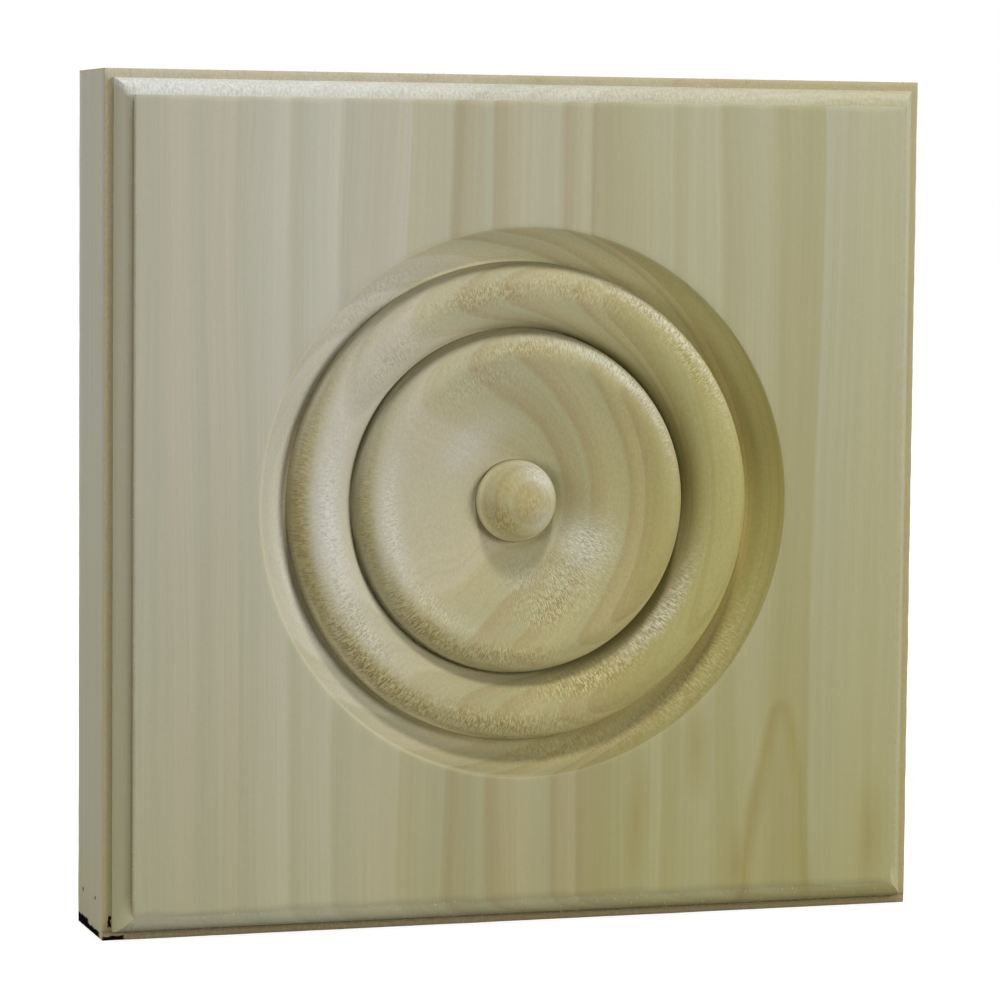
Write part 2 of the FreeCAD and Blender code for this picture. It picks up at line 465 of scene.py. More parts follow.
def block_mesh(s):
    """The whole block as one closed mesh of rings: button, rosette, face, moulded edge, sides and back."""
    turns = np.arange(COLUMNS) * (2 * math.pi / COLUMNS)
    circle = np.column_stack([np.cos(turns), np.sin(turns)])
    square = circle / np.abs(circle).max(axis=1)[:, None]
    section = rosette_section(s)[::-1]
    rings = [np.column_stack([circle * reach, np.full(COLUMNS, depth)]) for reach, depth in section]
    edge = worn_edge(s, *circle.T)
    rim = circle * section[-1][0]
    face_edge = square * (s.side / 2 - edge[0][0])[:, None]
    for part in FACE_ROWS:
        rings.append(np.column_stack([rim * (1 - part) + face_edge * part, np.zeros(COLUMNS)]))
    for inset, depth in edge:
        rings.append(np.column_stack([square * (s.side / 2 - inset)[:, None], depth]))
    front_pole = [0, 0, s.button_top_depth]
    back_pole = [0, 0, s.thickness]
    across, up, depth = np.vstack(rings + [front_pole, back_pole]).T
    mesh = bpy.data.meshes.new("block")
    mesh.from_pydata(np.column_stack([across, depth - s.thickness, up]).tolist(), [], round_faces(len(rings)))
    turned = np.zeros(len(across))
    turned[:(len(section) - 1) * COLUMNS] = 1
    turned[len(rings) * COLUMNS] = 1
    torn, bruised, olive = torn_shares(across, up) * turned
    edge_frayed, edge_painted_light, edge_olive = edge_shares(s, across, up, depth)
    shares = {"torn": torn, "bruised": bruised + edge_painted_light, "olive": olive + edge_olive, "turned": turned,
              "frayed": torn + edge_frayed}
    for name, values in shares.items():
        mesh.attributes.new(name, "FLOAT", "POINT").data.foreach_set("value", values.astype(np.float32))
    return mesh


def baked(name, mesh, tree, sizes):
    """A plain mesh object: what the tree makes of the given mesh, with the modifier gone."""
    carrier = bpy.data.objects.new(name + "_carrier", mesh)
    bpy.context.scene.collection.objects.link(carrier)
    made = carrier.modifiers.new(tree.name, "NODES")
    made.node_group = tree
    for socket in tree.interface.items_tree:
        if socket.in_out == "INPUT" and socket.name in sizes:
            made[socket.identifier] = sizes[socket.name]
    ready = carrier.evaluated_get(bpy.context.evaluated_depsgraph_get())
    plain = bpy.data.meshes.new_from_object(ready)
    bpy.data.objects.remove(carrier)
    piece = bpy.data.objects.new(name, plain)
    bpy.context.scene.collection.objects.link(piece)
    return piece


# The growth rings as they lie on the face: distance in mm from the line nearest the pith, and the look of the wood.
# A ring darkens slowly to its late line and ends sharply there.
GROWTH = (
    (0.0, "heart_pale"), (8.2, "middle_green"), (8.6, "heart_olive"), (14.5, "heart_olive"), (17.0, "heart_pale"),
    (22.6, "heart_olive"), (23.0, "heart_pale"), (27.0, "heart_pale"), (29.8, "heart_olive"), (30.2, "heart_pale"),
    (38.0, "heart_olive"), (41.8, "late_line"), (42.2, "middle_warm"), (46.0, "late_line"), (46.3, "middle_green"),
    (51.0, "middle_warm"), (55.0, "late_line"), (55.4, "middle_green"), (60.8, "late_line"), (61.2, "middle_green"),
    (67.0, "middle_warm"), (67.3, "sap_pink"), (76.0, "sap_grey"), (76.4, "sap_pale"), (82.6, "sap_grey"),
    (83.0, "sap_pale"), (89.6, "sap_grey"), (90.0, "sap_pink"), (94.4, "sap_grey"), (94.8, "sap_grey"),
    (98.8, "sap_pink"), (99.2, "sap_grey"),
)
GROWTH_SPAN = 130.0

# A pointed arch where a ring just breaks the face: the tip across and up in mm, and how narrow each half is
ARCH = (37.4, -27.0, 0.6, 1.5)

# Golden patches near it: middle across and up, half width and half height in mm
FIGURES = ((16.2, -43.0, 2.0, 13.0), (24.6, -33.5, 2.4, 9.0), (50.6, -47.0, 3.4, 11.0), (31.0, -50.0, 2.6, 6.0))

# Fine patterns: what each follows, width and run in mm, seed, how far its noise counts to either side of the middle,
# and how much it darkens and lightens the wood. Lines and bands follow the rings, specks lie between them, and coarser
# specks make the turned wood rougher. Real specks are finer still, but would not show.
FINE_GRAIN = (
    ("layers", 0.35, 30, 0, 0.25, 0.035),
    ("layers", 1.8, 150, 5, 0.08, 0.017),
    ("place", 0.2, 0.5, 7, 0.2, 0.02),
    ("turned", 0.25, 0.5, 9, 0.2, 0.06),
)

# The reach in mm at which tears have their full width, and the middle and half width of the zone where they go round
STROKE_REACH = 26.0
ROUNDS_MIDDLE, ROUNDS_HALF = 23.5, 17.0

# More than any distance in mm to the foot of a wall that counts
FAR_OFF = 9.0

# Marks at the lower left corner: middle and half size in mm, and how ragged their outlines are
BLACK_MARKS = (
    ((-57.3, -3.0, -56.5), (0.5, 4.0, 0.75)),
    ((-57.3, -9.5, -56.8), (0.5, 4.5, 0.5)),
    ((-57.3, -3.4, -52.3), (0.5, 0.35, 0.3)),
    ((-57.3, -11.0, -52.2), (0.5, 0.35, 0.25)),
    ((-55.8, -15.9, -56.9), (1.6, 0.6, 0.4)),
    ((-56.3, -16.0, -54.6), (0.25, 0.6, 0.9)),
    ((-54.0, -16.6, -55.5), (0.7, 0.8, 0.25)),
)
RAGGED = 0.7


def new_material(name, roughness):
    """A material, its node tree and its shader's sockets."""
    material = bpy.data.materials.new(name)
    material.use_nodes = True
    sockets = material.node_tree.nodes["Principled BSDF"].inputs
    sockets["Roughness"].default_value = roughness
    return material, material.node_tree, sockets


def grained(tree, place, width, run, seed, detail=2):
    """Noise whose spots are this wide across the grain and this long along it, in mm."""
    scale = (1 / width, 1 / width, 1 / run)
    stretched = add(tree, VECTOR, [place, scale, (seed, seed, seed)], "MULTIPLY_ADD")
    return add(tree, NOISE, {"Vector": stretched, "Scale": 1.0, "Detail": detail})


def line_at(tree, value, middle, outer, inner, most=1.0):
    """A line where a value comes near the middle: most of it within inner, and nothing past outer."""
    off = add(tree, MATH, [value, middle], "SUBTRACT")
    off = add(tree, MATH, [off], "ABSOLUTE")
    return add(tree, RANGE, {"Value": off, "From Min": outer, "From Max": inner, "To Max": most})


def wood_places(tree, sizes):
    """What the wood's look goes by: place in mm, slope, reach from the rosette's axis and the mesh's shares."""
    spot = add(tree, "ShaderNodeTexCoord").outputs
    place = add(tree, VECTOR, {0: spot["Object"], "Scale": 1 / MM}, "SCALE")
    axes = add(tree, SPLIT, [place]).outputs
    at = SimpleNamespace(place=place, x=axes["X"], y=axes["Y"], z=axes["Z"])
    at.upward = add(tree, SPLIT, [spot["Normal"]]).outputs["Z"]
    flat = add(tree, JOIN, {"X": at.x, "Y": at.z})
    at.reach = add(tree, VECTOR, [flat], "LENGTH")
    # Whole on the face and the moulded edge, and nothing on the sides behind them
    foot = (LOW.y + sizes.face_step + sizes.ovolo_radius) / MM
    at.ahead = add(tree, RANGE, {"Value": at.y, "From Min": foot + 0.6, "From Max": foot + 0.3})
    for name in ("torn", "bruised", "olive", "turned"):
        setattr(at, name, add(tree, SHARE, attribute_name=name).outputs["Fac"])
    return at


def ring_colour(tree, look, at):
    """The wood's stripes, and how far each place lies from the line nearest the pith. Growth rings are rounds about the
    pith, so they cross the face as stripes and the dish as nested curves."""
    deep = add(tree, MATH, [at.y, (HIGH.y - LOW.y) / MM], "ADD")
    across = add(tree, MATH, [at.x, look.pith_across / MM], "SUBTRACT")
    across = add(tree, MATH, [across, across], "MULTIPLY")
    ahead = add(tree, MATH, [deep, 2 * look.pith_ahead / MM], "ADD")
    square = add(tree, MATH, [deep, ahead, across], "MULTIPLY_ADD")
    ring = add(tree, MATH, [square], "SQRT")
    sway = grained(tree, at.place, width=14, run=70, seed=0, detail=1)
    sway = add(tree, RANGE, {"Value": sway, "To Min": -2.2, "To Max": 2.2})
    ring = add(tree, MATH, [ring, sway], "ADD")
    share = add(tree, MATH, [ring, GROWTH_SPAN], "DIVIDE")
    ramp = add(tree, "ShaderNodeValToRGB", {"Fac": share})
    stops = ramp.color_ramp.elements
    while len(stops) < len(GROWTH):
        stops.new(1.0)
    for stop, (distance, name) in zip(stops, GROWTH):
        stop.position = distance / GROWTH_SPAN
        stop.color = getattr(look, name)
    return ramp.outputs["Color"], ring


def heart_figure(tree, look, at, wood):
    """The figure of the heartwood: the arch, outlined in gold, broadly at its left, and a little more olive inside, and
    golden patches near it. The colour turns a little darker and yellower toward the bottom and the right."""
    tip_across, tip_up, left_narrow, right_narrow = ARCH
    sway = grained(tree, at.place, width=5, run=14, seed=2, detail=1)
    sway = add(tree, RANGE, {"Value": sway, "To Min": -1.0, "To Max": 1.0})
    swayed = add(tree, MATH, [at.x, sway], "ADD")
    off = add(tree, MATH, [swayed, tip_across], "SUBTRACT")
    narrow = add(tree, RANGE, {"Value": off, "From Min": -0.5, "From Max": 0.5, "To Min": left_narrow,
                               "To Max": right_narrow})
    below = add(tree, MATH, [tip_up, at.z], "SUBTRACT")
    half_wide = add(tree, MATH, [below, narrow], "DIVIDE")
    half_wide = add(tree, MATH, [half_wide], "SQRT")
    off = add(tree, MATH, [off], "ABSOLUTE")
    inside = add(tree, MATH, [half_wide, off], "SUBTRACT")
    outline = add(tree, RANGE, {"Value": inside, "From Min": 2.4, "From Max": 0.6})
    edge = add(tree, RANGE, {"Value": inside, "From Min": -0.6, "From Max": 0.6, "To Max": 0.6})
    under = add(tree, RANGE, {"Value": below, "From Max": 1.5})
    faint = add(tree, RANGE, {"Value": swayed, "From Min": tip_across - 1.0, "From Max": tip_across + 3.0,
                              "To Min": 1.0, "To Max": 0.55})
    for part in (edge, under, faint):
        outline = add(tree, MATH, [outline, part], "MULTIPLY")
    for middle_across, middle_up, half_across, half_up in FIGURES:
        aside = add(tree, MATH, [swayed, middle_across], "SUBTRACT")
        aside = add(tree, MATH, [aside, half_across], "DIVIDE")
        above = add(tree, MATH, [at.z, middle_up], "SUBTRACT")
        above = add(tree, MATH, [above, half_up], "DIVIDE")
        away = add(tree, VECTOR, [add(tree, JOIN, {"X": aside, "Y": above})], "LENGTH")
        patch = add(tree, RANGE, {"Value": away, "From Min": 1.0, "From Max": 0.0, "To Max": 0.5})
        outline = add(tree, MATH, [outline, patch], "MAXIMUM")
    fill = add(tree, RANGE, {"Value": inside, "From Min": 0.2, "From Max": 1.5, "To Max": 0.2})
    for share, colour in ((fill, look.heart_olive), (outline, look.heart_deep)):
        wood = add(tree, MIX, {0: share, 6: wood, 7: colour}, data_type="RGBA")
    low = add(tree, MATH, [at.x, 0.5], "MULTIPLY")
    low = add(tree, MATH, [low, at.z], "SUBTRACT")
    low = add(tree, RANGE, {"Value": low, "From Min": -40.0, "From Max": 75.0})
    return add(tree, MIX, {0: low, 6: wood, 7: look.drift}, data_type="RGBA", blend_type="MULTIPLY")


def fine_grain(tree, at, ring, wood):
    """The patterns that are finer than a growth ring."""
    layers = add(tree, JOIN, {"X": ring, "Z": at.z})
    for follows, width, run, seed, spread, change in FINE_GRAIN:
        noise = grained(tree, layers if follows == "layers" else at.place, width, run, seed)
        shade = add(tree, RANGE, {"Value": noise, "From Min": 0.5 - spread, "From Max": 0.5 + spread,
                                  "To Min": 1 - change, "To Max": 1 + change})
        if follows == "turned":
            shade = add(tree, MIX, {0: at.turned, 2: 1.0, 3: shade})
        wood = add(tree, VECTOR, {0: wood, "Scale": shade}, "SCALE")
    return wood


def turned_wood(tree, look, sizes, at, wood):
    """The rosette: yellower toward the pith, with painted light and shade on it: paler where it faces down and a little
    darker where it faces up, paler low in the cove and darker at its rim, both most at the right, a little paler on the
    button, and paler at the foot of each wall, most at the left."""
    rim = sizes.rim_radius / MM
    button = sizes.button_radius / MM
    yellow = add(tree, RANGE, {"Value": at.x, "From Min": -25.0, "From Max": 35.0})
    yellow = add(tree, MATH, [yellow, at.turned], "MULTIPLY")
    for share, colour in ((yellow, look.cut_tint), (at.turned, look.cut_pale)):
        wood = add(tree, MIX, {0: share, 6: wood, 7: colour}, data_type="RGBA", blend_type="MULTIPLY")
    # Painted light: turned wood is drawn paler where it faces down and a little darker where it faces up
    painted_light = add(tree, RANGE, {"Value": at.upward, "From Min": -1.0, "To Min": 1.7, "To Max": 0.93})
    # Painted light and shade in the cove: paler low down and darker at the rim, both most at the right
    painted_cove_foot_light = add(tree, RANGE, {"Value": at.x, "From Min": 10.0, "From Max": 30.0, "To Min": 1.15, "To Max": 1.55})
    painted_cove_rim_shade = add(tree, RANGE, {"Value": at.x, "From Min": -20.0, "From Max": 20.0, "To Min": 0.94, "To Max": 0.8})
    cove = add(tree, RANGE, {"Value": at.reach, "From Min": rim, "From Max": 0.9 * rim, "To Min": painted_cove_rim_shade,
                             "To Max": painted_cove_foot_light})
    outside = add(tree, MATH, [at.reach, sizes.ring_root_radius / MM], "GREATER_THAN")
    # Painted light: the button is drawn a little paler
    within = add(tree, RANGE, {"Value": at.reach, "From Min": button, "From Max": button - 0.2, "To Min": 1.0,
                               "To Max": 1.06})
    cove = add(tree, MIX, {0: outside, 2: within, 3: cove})
    # Painted light: the foot of each wall is drawn paler, most at the left, where it lies in shade
    painted_wall_foot_light = FAR_OFF
    for root in (sizes.ring_root_radius, sizes.disc_root_radius, sizes.button_radius):
        near = add(tree, MATH, [at.reach, root / MM], "SUBTRACT")
        near = add(tree, MATH, [near], "ABSOLUTE")
        painted_wall_foot_light = add(tree, MATH, [painted_wall_foot_light, near], "MINIMUM")
    painted_wall_foot_light_left = add(tree, RANGE, {"Value": at.x, "From Min": 5.0, "From Max": -12.0, "To Min": 1.0, "To Max": 1.6})
    painted_wall_foot_light = add(tree, RANGE, {"Value": painted_wall_foot_light, "From Min": 0.6, "From Max": 0.2, "To Min": 1.0, "To Max": painted_wall_foot_light_left})
    cove = add(tree, MATH, [cove, painted_wall_foot_light], "MULTIPLY")
    painted_light = add(tree, MATH, [painted_light, cove], "MULTIPLY")
    painted_light = add(tree, MIX, {0: at.turned, 2: 1.0, 3: painted_light})
    wood = add(tree, VECTOR, {0: wood, "Scale": painted_light}, "SCALE")

    # Painted highlight: the rim is drawn as a thin pale edge at the left
    thin = line_at(tree, at.reach, rim, outer=0.3, inner=0.1)
    leftward = add(tree, RANGE, {"Value": at.x, "From Min": 5.0, "From Max": -15.0, "To Max": 0.2})
    for part in (leftward, at.ahead):
        thin = add(tree, MATH, [thin, part], "MULTIPLY")
    return add(tree, MIX, {0: thin, 6: wood, 7: look.torn_pale}, data_type="RGBA")


def edges_and_ends(tree, look, sizes, at, wood):
    """The sawn ends at the top and bottom, and the moulded edge."""
    wide = add(tree, MATH, [at.x], "ABSOLUTE")
    high = add(tree, MATH, [at.z], "ABSOLUTE")
    half_side = sizes.side / 2 / MM
    shoulder = sizes.shoulder_width / MM
    inner = shoulder + sizes.ovolo_radius / MM
    ends = add(tree, RANGE, {"Value": high, "From Min": half_side - 0.3, "From Max": half_side - 0.05, "To Max": 0.8})

    # The shoulder is rough, golden along the top and the sides and brown along the bottom
    stipple = grained(tree, at.place, width=0.35, run=0.5, seed=4)
    inset = add(tree, MATH, [wide, high], "MAXIMUM")
    inset = add(tree, MATH, [half_side, inset], "SUBTRACT")
    strip = add(tree, RANGE, {"Value": inset, "From Min": shoulder + 0.1, "From Max": shoulder - 0.1})
    strip = add(tree, MATH, [strip, at.ahead], "MULTIPLY")
    gold = add(tree, RANGE, {"Value": stipple, "From Min": 0.4, "From Max": 0.6, "To Min": 0.3, "To Max": 0.75})
    gold = add(tree, MATH, [strip, gold], "MULTIPLY")
    brown = add(tree, RANGE, {"Value": at.z, "From Min": 3.0 - half_side, "From Max": 1.0 - half_side, "To Max": 0.95})
    patchy = add(tree, RANGE, {"Value": stipple, "From Min": 0.35, "From Max": 0.6, "To Min": 0.55})
    brown = add(tree, MATH, [strip, brown], "MULTIPLY")
    brown = add(tree, MATH, [brown, patchy], "MULTIPLY")

    # Painted shade: a thin dark line is drawn in the crease at the foot of the lowest ovolo, along the bottom
    quirk = line_at(tree, at.z, shoulder - half_side, outer=0.25, inner=0.08, most=0.55)
    for part in (patchy, at.ahead):
        quirk = add(tree, MATH, [quirk, part], "MULTIPLY")

    # Painted shade: the small step up to the face is darkened brown where it looks to the left
    riser = line_at(tree, at.x, inner - half_side, outer=0.25, inner=0.1, most=0.4)
    sunk = add(tree, RANGE, {"Value": at.y, "From Min": LOW.y / MM + 0.25, "From Max": LOW.y / MM + 0.5})
    for part in (sunk, at.ahead):
        riser = add(tree, MATH, [riser, part], "MULTIPLY")
    for share, colour in ((ends, look.end_tint), (gold, look.end_tint), (brown, look.shoulder_brown_and_step_shade),
                          (quirk, look.crease_shade), (riser, look.shoulder_brown_and_step_shade)):
        wood = add(tree, MIX, {0: share, 6: wood, 7: colour}, data_type="RGBA")
    return wood


def torn_wood(tree, look, at, wood):
    """The torn grain, and its strokes. Tears lie across the rounds, so their strokes go by angle and reach about the
    rosette's axis, and along the grain on the button and the moulded edge."""
    aside = add(tree, MATH, [at.x, -1.0], "MULTIPLY")
    around = add(tree, MATH, [at.z, aside], "ARCTAN2")
    around = add(tree, MATH, [around, STROKE_REACH * MM / look.stroke_width], "MULTIPLY")
    along = add(tree, MATH, [at.reach, look.stroke_length / MM], "DIVIDE")
    turning = add(tree, JOIN, {"X": around, "Y": along})
    round_strokes = add(tree, NOISE, {"Vector": turning, "Scale": 1.0, "Detail": 2.0, "Distortion": 0.7},
                        noise_dimensions="2D")
    grain_strokes = grained(tree, at.place, width=0.3, run=0.7, seed=3, detail=1)
    off_rounds = add(tree, MATH, [at.reach, ROUNDS_MIDDLE], "SUBTRACT")
    off_rounds = add(tree, MATH, [off_rounds], "ABSOLUTE")
    off_rounds = add(tree, RANGE, {"Value": off_rounds, "From Min": ROUNDS_HALF - 0.5, "From Max": ROUNDS_HALF + 0.5})
    strokes = add(tree, MIX, {0: off_rounds, 2: round_strokes, 3: grain_strokes})
    # Whitish wood: partly bruising, partly a painted highlight where slopes face the lamps, and painted light on the
    # shaded bottom edge
    haze = add(tree, RANGE, {"Value": strokes, "From Min": 0.3, "From Max": 0.7, "To Min": 0.25, "To Max": 0.85})
    haze = add(tree, MATH, [haze, at.bruised], "MULTIPLY")
    dull = add(tree, MATH, [at.olive, 0.75], "MULTIPLY")
    pale = add(tree, RANGE, {"Value": strokes, "From Min": 0.52, "From Max": 0.58, "To Max": 0.5})
    pale = add(tree, MATH, [pale, at.torn], "MULTIPLY")
    pits = add(tree, RANGE, {"Value": strokes, "From Min": 0.48, "From Max": 0.4, "To Max": 0.55})
    depth = add(tree, RANGE, {"Value": at.olive, "From Max": 0.6, "To Min": 0.6})
    for part in (depth, at.torn):
        pits = add(tree, MATH, [pits, part], "MULTIPLY")
    for share, colour in ((haze, look.haze), (dull, look.torn_olive), (pale, look.torn_pale), (pits, look.torn_dark)):
        wood = add(tree, MIX, {0: share, 6: wood, 7: colour}, data_type="RGBA")
    return wood, strokes


def corner_marks(tree, look, at, wood):
    """Black marks at one corner, with ragged outlines, and how bare of them each place is."""
    ragged = add(tree, NOISE, {"Vector": at.place, "Scale": 1.6, "Detail": 2.0}).outputs["Color"]
    shaken = add(tree, VECTOR, [ragged, (RAGGED, RAGGED, RAGGED), at.place], "MULTIPLY_ADD")
    bare = 1.0
    for middle, half in BLACK_MARKS:
        moved = add(tree, VECTOR, [shaken, [m + RAGGED / 2 for m in middle]], "SUBTRACT")
        sized = add(tree, VECTOR, [moved, half], "DIVIDE")
        sized = add(tree, VECTOR, [sized], "ABSOLUTE")
        parts = add(tree, SPLIT, [sized]).outputs
        most = add(tree, MATH, [parts["X"], parts["Y"]], "MAXIMUM")
        most = add(tree, MATH, [most, parts["Z"]], "MAXIMUM")
        mark = add(tree, RANGE, {"Value": most, "From Min": 1.0, "From Max": 0.8})
        wood = add(tree, MIX, {0: mark, 6: wood, 7: look.black_mark}, data_type="RGBA")
        bare = add(tree, MATH, [bare, mark], "SUBTRACT", use_clamp=True)
    return wood, bare


def poplar(look, sizes):
    """Yellow poplar, machined and unfinished: pale stripes and olive heartwood along the grain, a dull soft
    sheen, and frayed whitish fibres where the cutter met the grain head on."""
    material, tree, sockets = new_material("yellow_poplar_machined", look.roughness)
    at = wood_places(tree, sizes)
    wood, ring = ring_colour(tree, look, at)
    wood = heart_figure(tree, look, at, wood)
    wood = fine_grain(tree, at, ring, wood)
    wood = turned_wood(tree, look, sizes, at, wood)
    wood = edges_and_ends(tree, look, sizes, at, wood)
    wood, strokes = torn_wood(tree, look, at, wood)
    wood, bare = corner_marks(tree, look, at, wood)
    tree.links.new(wood.outputs[2], sockets["Base Color"])
    sheen = add(tree, MATH, [bare, look.sheen], "MULTIPLY")
    tree.links.new(sheen.outputs[0], sockets["Specular IOR Level"])

    # Open pores and torn strokes stand as a fine relief, in metres. Poplar's pores are under 0.1 mm wide, which is too
    # fine to show, so they are drawn wider.
    pores = grained(tree, at.place, width=0.16, run=2.5, seed=11, detail=1)
    pores = add(tree, MATH, [pores, look.pore_depth], "MULTIPLY")
    tears = add(tree, MATH, [at.torn, look.tear_depth], "MULTIPLY")
    relief = add(tree, MATH, [strokes, tears, pores], "MULTIPLY_ADD")
    bump = add(tree, "ShaderNodeBump", {"Height": relief, "Strength": 0.6, "Distance": 1.0})
    tree.links.new(bump.outputs[0], sockets["Normal"])
    return material


def frayed_fibre(look):
    """Loose poplar fibres, thin, dry and dull: cream to greenish, whitish where the wood is whitened by bruising and by
    painted highlight, and olive on torn wood.
    """
    material, tree, sockets = new_material("poplar_fibre_frayed", look.roughness)
    sockets["Specular IOR Level"].default_value = look.sheen
    spot = add(tree, "ShaderNodeTexCoord").outputs["Object"]
    place = add(tree, VECTOR, {0: spot, "Scale": 1 / MM}, "SCALE")
    mixed = grained(tree, place, width=0.7, run=2.0, seed=5, detail=1)
    mixed = add(tree, RANGE, {"Value": mixed, "From Min": 0.35, "From Max": 0.65})
    colour = add(tree, MIX, {0: mixed, 6: look.middle_green, 7: look.torn_pale}, data_type="RGBA")
    for name, tone in (("bruised", look.haze), ("olive", look.torn_olive)):
        share = add(tree, SHARE, attribute_name=name).outputs["Fac"]
        colour = add(tree, MIX, {0: share, 6: colour, 7: tone}, data_type="RGBA")
    tree.links.new(colour.outputs[2], sockets["Base Color"])
    return material


def fibre_tree(material):
    """Geometry Nodes that stand thin bent fibres on the frayed zones. They lean out from the rosette's axis, a little
    proud of the wood."""
    tree = bpy.data.node_groups.new("Raised fibres", "GeometryNodeTree")
    face = tree.interface
    face.new_socket("Geometry", in_out="INPUT", socket_type="NodeSocketGeometry")
    for name in ("Density", "Length", "Radius"):
        face.new_socket(name, in_out="INPUT", socket_type="NodeSocketFloat")
    face.new_socket("Geometry", in_out="OUTPUT", socket_type="NodeSocketGeometry")
    given = add(tree, "NodeGroupInput").outputs
    frayed = add(tree, "GeometryNodeInputNamedAttribute", {"Name": "frayed"}, data_type="FLOAT").outputs["Attribute"]
    most_frayed = add(tree, RANGE, {"Value": frayed, "From Min": FRAYED_FROM})
    density = add(tree, MATH, [most_frayed, given["Density"]], "MULTIPLY")
    roots = add(tree, "GeometryNodeDistributePointsOnFaces", {"Mesh": given["Geometry"], "Density": density, "Seed": 4})
    outward = roots.outputs["Normal"]
    spot = add(tree, "GeometryNodeInputPosition")
    flat = add(tree, VECTOR, [spot, (1, 0, 1)], "MULTIPLY")
    radial = add(tree, VECTOR, [flat], "NORMALIZE")
    slant = add(tree, VECTOR, [radial, outward], "DOT_PRODUCT")
    upright = add(tree, VECTOR, {0: outward, "Scale": slant}, "SCALE")
    surface = add(tree, VECTOR, [radial, upright], "SUBTRACT")
    lean = add(tree, VECTOR, [outward, [FIBRE_RISE] * 3, surface], "MULTIPLY_ADD")
    loose = add(tree, "FunctionNodeRandomValue", {0: [-FIBRE_STRAY] * 3, 1: [FIBRE_STRAY] * 3, "Seed": 8},
                data_type="FLOAT_VECTOR")
    lean = add(tree, VECTOR, [lean, loose], "ADD")
    turn = add(tree, "FunctionNodeAlignRotationToVector", {"Vector": lean}, axis="Z")
    fibre = add(tree, "GeometryNodeMeshCone", {"Vertices": 3, "Side Segments": 2, "Radius Top": 0.0,
                                               "Radius Bottom": given["Radius"], "Depth": given["Length"]},
                fill_type="NONE")
    height = add(tree, SPLIT, [add(tree, "GeometryNodeInputPosition")]).outputs["Z"]
    bend = add(tree, MATH, [height, height], "MULTIPLY")
    bend = add(tree, MATH, [bend, given["Length"]], "DIVIDE")
    bend = add(tree, MATH, [bend, FIBRE_BEND], "MULTIPLY")
    offset = add(tree, JOIN, {"X": bend})
    bent = add(tree, "GeometryNodeSetPosition", {"Geometry": fibre, "Offset": offset})
    least, most = FIBRE_SIZES
    size = add(tree, "FunctionNodeRandomValue", {2: least, 3: most, "Seed": 2}, data_type="FLOAT")
    stood = add(tree, "GeometryNodeInstanceOnPoints", {"Points": roots.outputs["Points"], "Instance": bent,
                                                       "Rotation": turn, "Scale": size})
    real = add(tree, "GeometryNodeRealizeInstances", {"Geometry": stood})
    ready = add(tree, "GeometryNodeSetMaterial", {"Geometry": real, "Material": material})
    add(tree, "NodeGroupOutput", [ready])
    return tree


def seen_rays(tree):
    """The rays that see the studio itself: straight, mirrored or through glass."""
    path = add(tree, "ShaderNodeLightPath").outputs
    seen = add(tree, MATH, [path["Is Camera Ray"], path["Is Glossy Ray"]], "MAXIMUM")
    return add(tree, MATH, [seen, path["Is Transmission Ray"]], "MAXIMUM")


class ROSETTE_OT_block(bpy.types.Operator):
    """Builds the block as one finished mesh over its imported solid."""
    bl_idname = "rosette.block"
    bl_label = "Build block"

    def execute(self, context):
        scene = context.scene
        look = scene.poplar_look
        mesh = block_mesh(scene.block_sizes)
        mesh.materials.append(poplar(look, scene.block_sizes))
        mesh.set_sharp_from_angle(angle=math.radians(SHARP_ANGLE))
        block = bpy.data.objects.new("block", mesh)
        scene.collection.objects.link(block)
        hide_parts(NODE)
        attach(block, "root")
        return {"FINISHED"}


class ROSETTE_OT_fibres(bpy.types.Operator):
    """Raises loose fibres on the torn zones of the block."""
    bl_idname = "rosette.fibres"
    bl_label = "Raise fibres"

    def execute(self, context):
        look = context.scene.poplar_look
        material = frayed_fibre(look)
        sizes = {"Density": look.fibre_density / MM ** 2, "Length": look.fibre_length, "Radius": look.fibre_radius}
        fibres = baked("raised_fibres", bpy.data.objects["block"].data.copy(), fibre_tree(material), sizes)
        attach(fibres, "root")
        return {"FINISHED"}


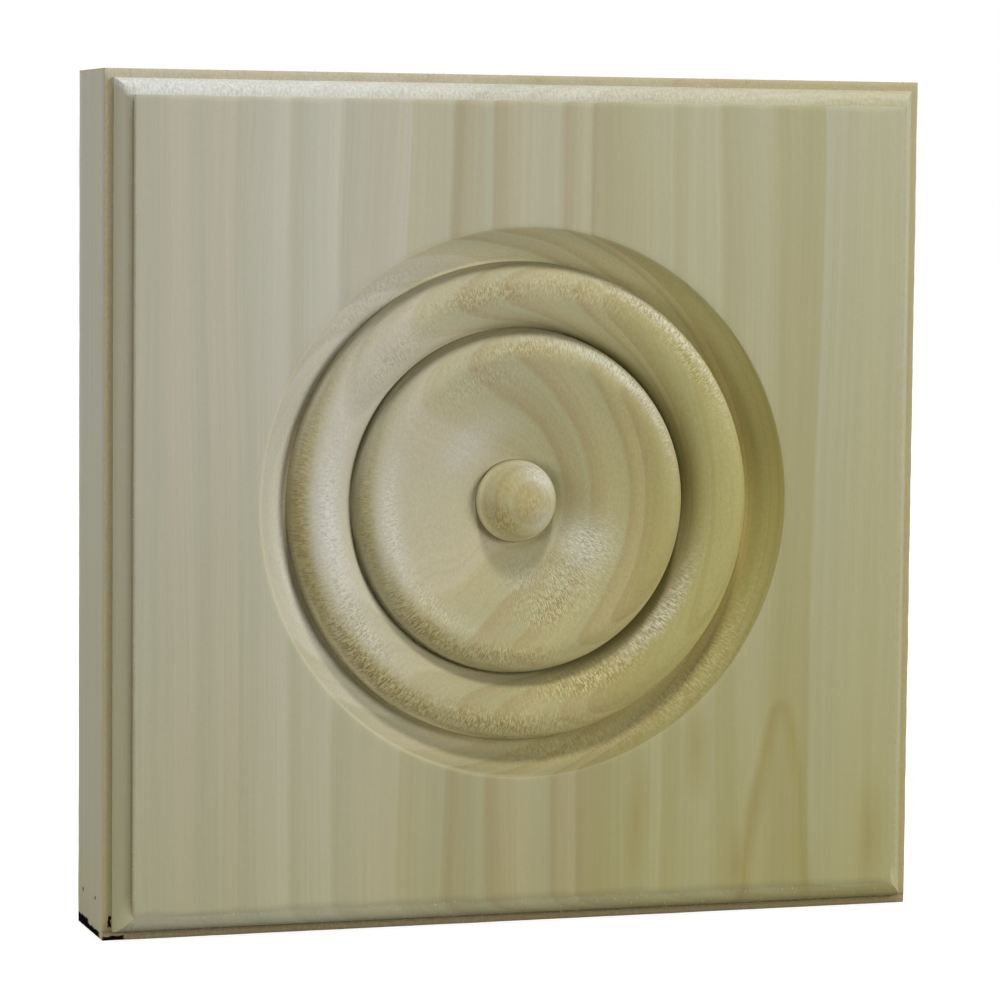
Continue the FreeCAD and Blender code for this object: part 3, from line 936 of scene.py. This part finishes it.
class ROSETTE_OT_stage(bpy.types.Operator):
    """Sets up the camera, the floor and the lamps."""
    bl_idname = "rosette.stage"
    bl_label = "Set up studio"

    def execute(self, context):
        scene = context.scene
        stage = scene.studio_stage
        scene.view_settings.view_transform = "Standard"
        camera = bpy.data.cameras.new("camera")
        camera.lens = stage.lens
        camera.sensor_width = 36
        camera.clip_start = 0.01
        stand = bpy.data.objects.new("camera", camera)
        scene.collection.objects.link(stand)
        scene.camera = stand
        ahead = Vector((math.sin(stage.yaw) * math.cos(stage.pitch), math.cos(stage.yaw) * math.cos(stage.pitch),
                        -math.sin(stage.pitch)))
        level = Vector((math.cos(stage.yaw), -math.sin(stage.yaw), 0))
        down = ahead.cross(level)
        right = math.cos(stage.roll) * level + math.sin(stage.roll) * down
        below = math.cos(stage.roll) * down - math.sin(stage.roll) * level
        turn = Matrix((right, -below, -ahead)).transposed().to_4x4()
        stand.matrix_world = Matrix.Translation(stage.camera_place) @ turn
        self.surround(scene, stage)
        self.floor(scene)
        for name, direction, distance, size in LAMPS:
            self.lamp(scene, name, direction, distance, size, getattr(stage, name + "_power"))
        return {"FINISHED"}

    def floor(self, scene):
        """A wide white floor under the block, which the camera sees as white and which keeps the shadow."""
        reach = FLOOR_REACH
        corners = [(-reach, -reach, LOW.z), (reach, -reach, LOW.z), (reach, reach, LOW.z), (-reach, reach, LOW.z)]
        mesh = bpy.data.meshes.new("floor")
        mesh.from_pydata(corners, [], [(0, 1, 2, 3)])
        sheet = bpy.data.objects.new("floor", mesh)
        scene.collection.objects.link(sheet)
        material, tree, sockets = new_material("white_paper_sweep", roughness=0.9)
        sockets["Base Color"].default_value = linear("a0a0a0")
        # Far from the block the floor glows as white as the surround
        spot = add(tree, "ShaderNodeTexCoord").outputs["Object"]
        away = add(tree, VECTOR, [spot], "LENGTH")
        white = add(tree, RANGE, {"Value": away, "From Min": 0.1, "From Max": 0.45, "To Min": 0.85})
        glow = add(tree, MATH, [seen_rays(tree), white], "MULTIPLY")
        sockets["Emission Color"].default_value = (1, 1, 1, 1)
        tree.links.new(glow.outputs[0], sockets["Emission Strength"])
        mesh.materials.append(material)

    def surround(self, scene, stage):
        """White to the camera and to reflections, and an even light on everything else."""
        world = bpy.data.worlds.new("studio")
        scene.world = world
        world.use_nodes = True
        tree = world.node_tree
        strength = add(tree, RANGE, {"Value": seen_rays(tree), "To Min": stage.surround})
        tree.nodes["Background"].inputs["Color"].default_value = (1, 1, 1, 1)
        tree.links.new(strength.outputs[0], tree.nodes["Background"].inputs["Strength"])

    def lamp(self, scene, name, direction, distance, size, power):
        """A square soft lamp that looks at the block's face."""
        light = bpy.data.lights.new(name, "AREA")
        light.size = size
        light.energy = power
        holder = bpy.data.objects.new(name, light)
        scene.collection.objects.link(holder)
        toward = Vector(direction).normalized()
        holder.location = Vector(LAMP_AIM) + toward * distance
        holder.rotation_mode = "QUATERNION"
        holder.rotation_quaternion = (-toward).to_track_quat("-Z", "Y")


class ROSETTE_PT_panel(bpy.types.Panel):
    """Lists the sizes, the look and the studio, with the steps that use them."""
    bl_idname = "ROSETTE_PT_panel"
    bl_label = "Corner rosette block"
    bl_space_type = "VIEW_3D"
    bl_region_type = "UI"
    bl_category = "Rosette"

    def draw(self, context):
        for group in GROUPS:
            box = self.layout.box()
            values = getattr(context.scene, group)
            for name in values.__annotations__:
                box.prop(values, name)
        for step in (ROSETTE_OT_block, ROSETTE_OT_fibres, ROSETTE_OT_stage):
            self.layout.operator(step.bl_idname)


GROUPS = {"block_sizes": BlockSizes, "poplar_look": PoplarLook, "studio_stage": StudioStage}
STEPS = (ROSETTE_OT_block, ROSETTE_OT_fibres, ROSETTE_OT_stage, ROSETTE_PT_panel)


def register():
    for name, group in GROUPS.items():
        bpy.utils.register_class(group)
        setattr(bpy.types.Scene, name, bpy.props.PointerProperty(type=group))
    for step in STEPS:
        bpy.utils.register_class(step)


def unregister():
    for step in reversed(STEPS):
        bpy.utils.unregister_class(step)
    for name, group in GROUPS.items():
        delattr(bpy.types.Scene, name)
        bpy.utils.unregister_class(group)


def main():
    register()
    bpy.ops.rosette.block()
    bpy.ops.rosette.fibres()
    bpy.ops.rosette.stage()


if __name__ == "__main__":
    main()
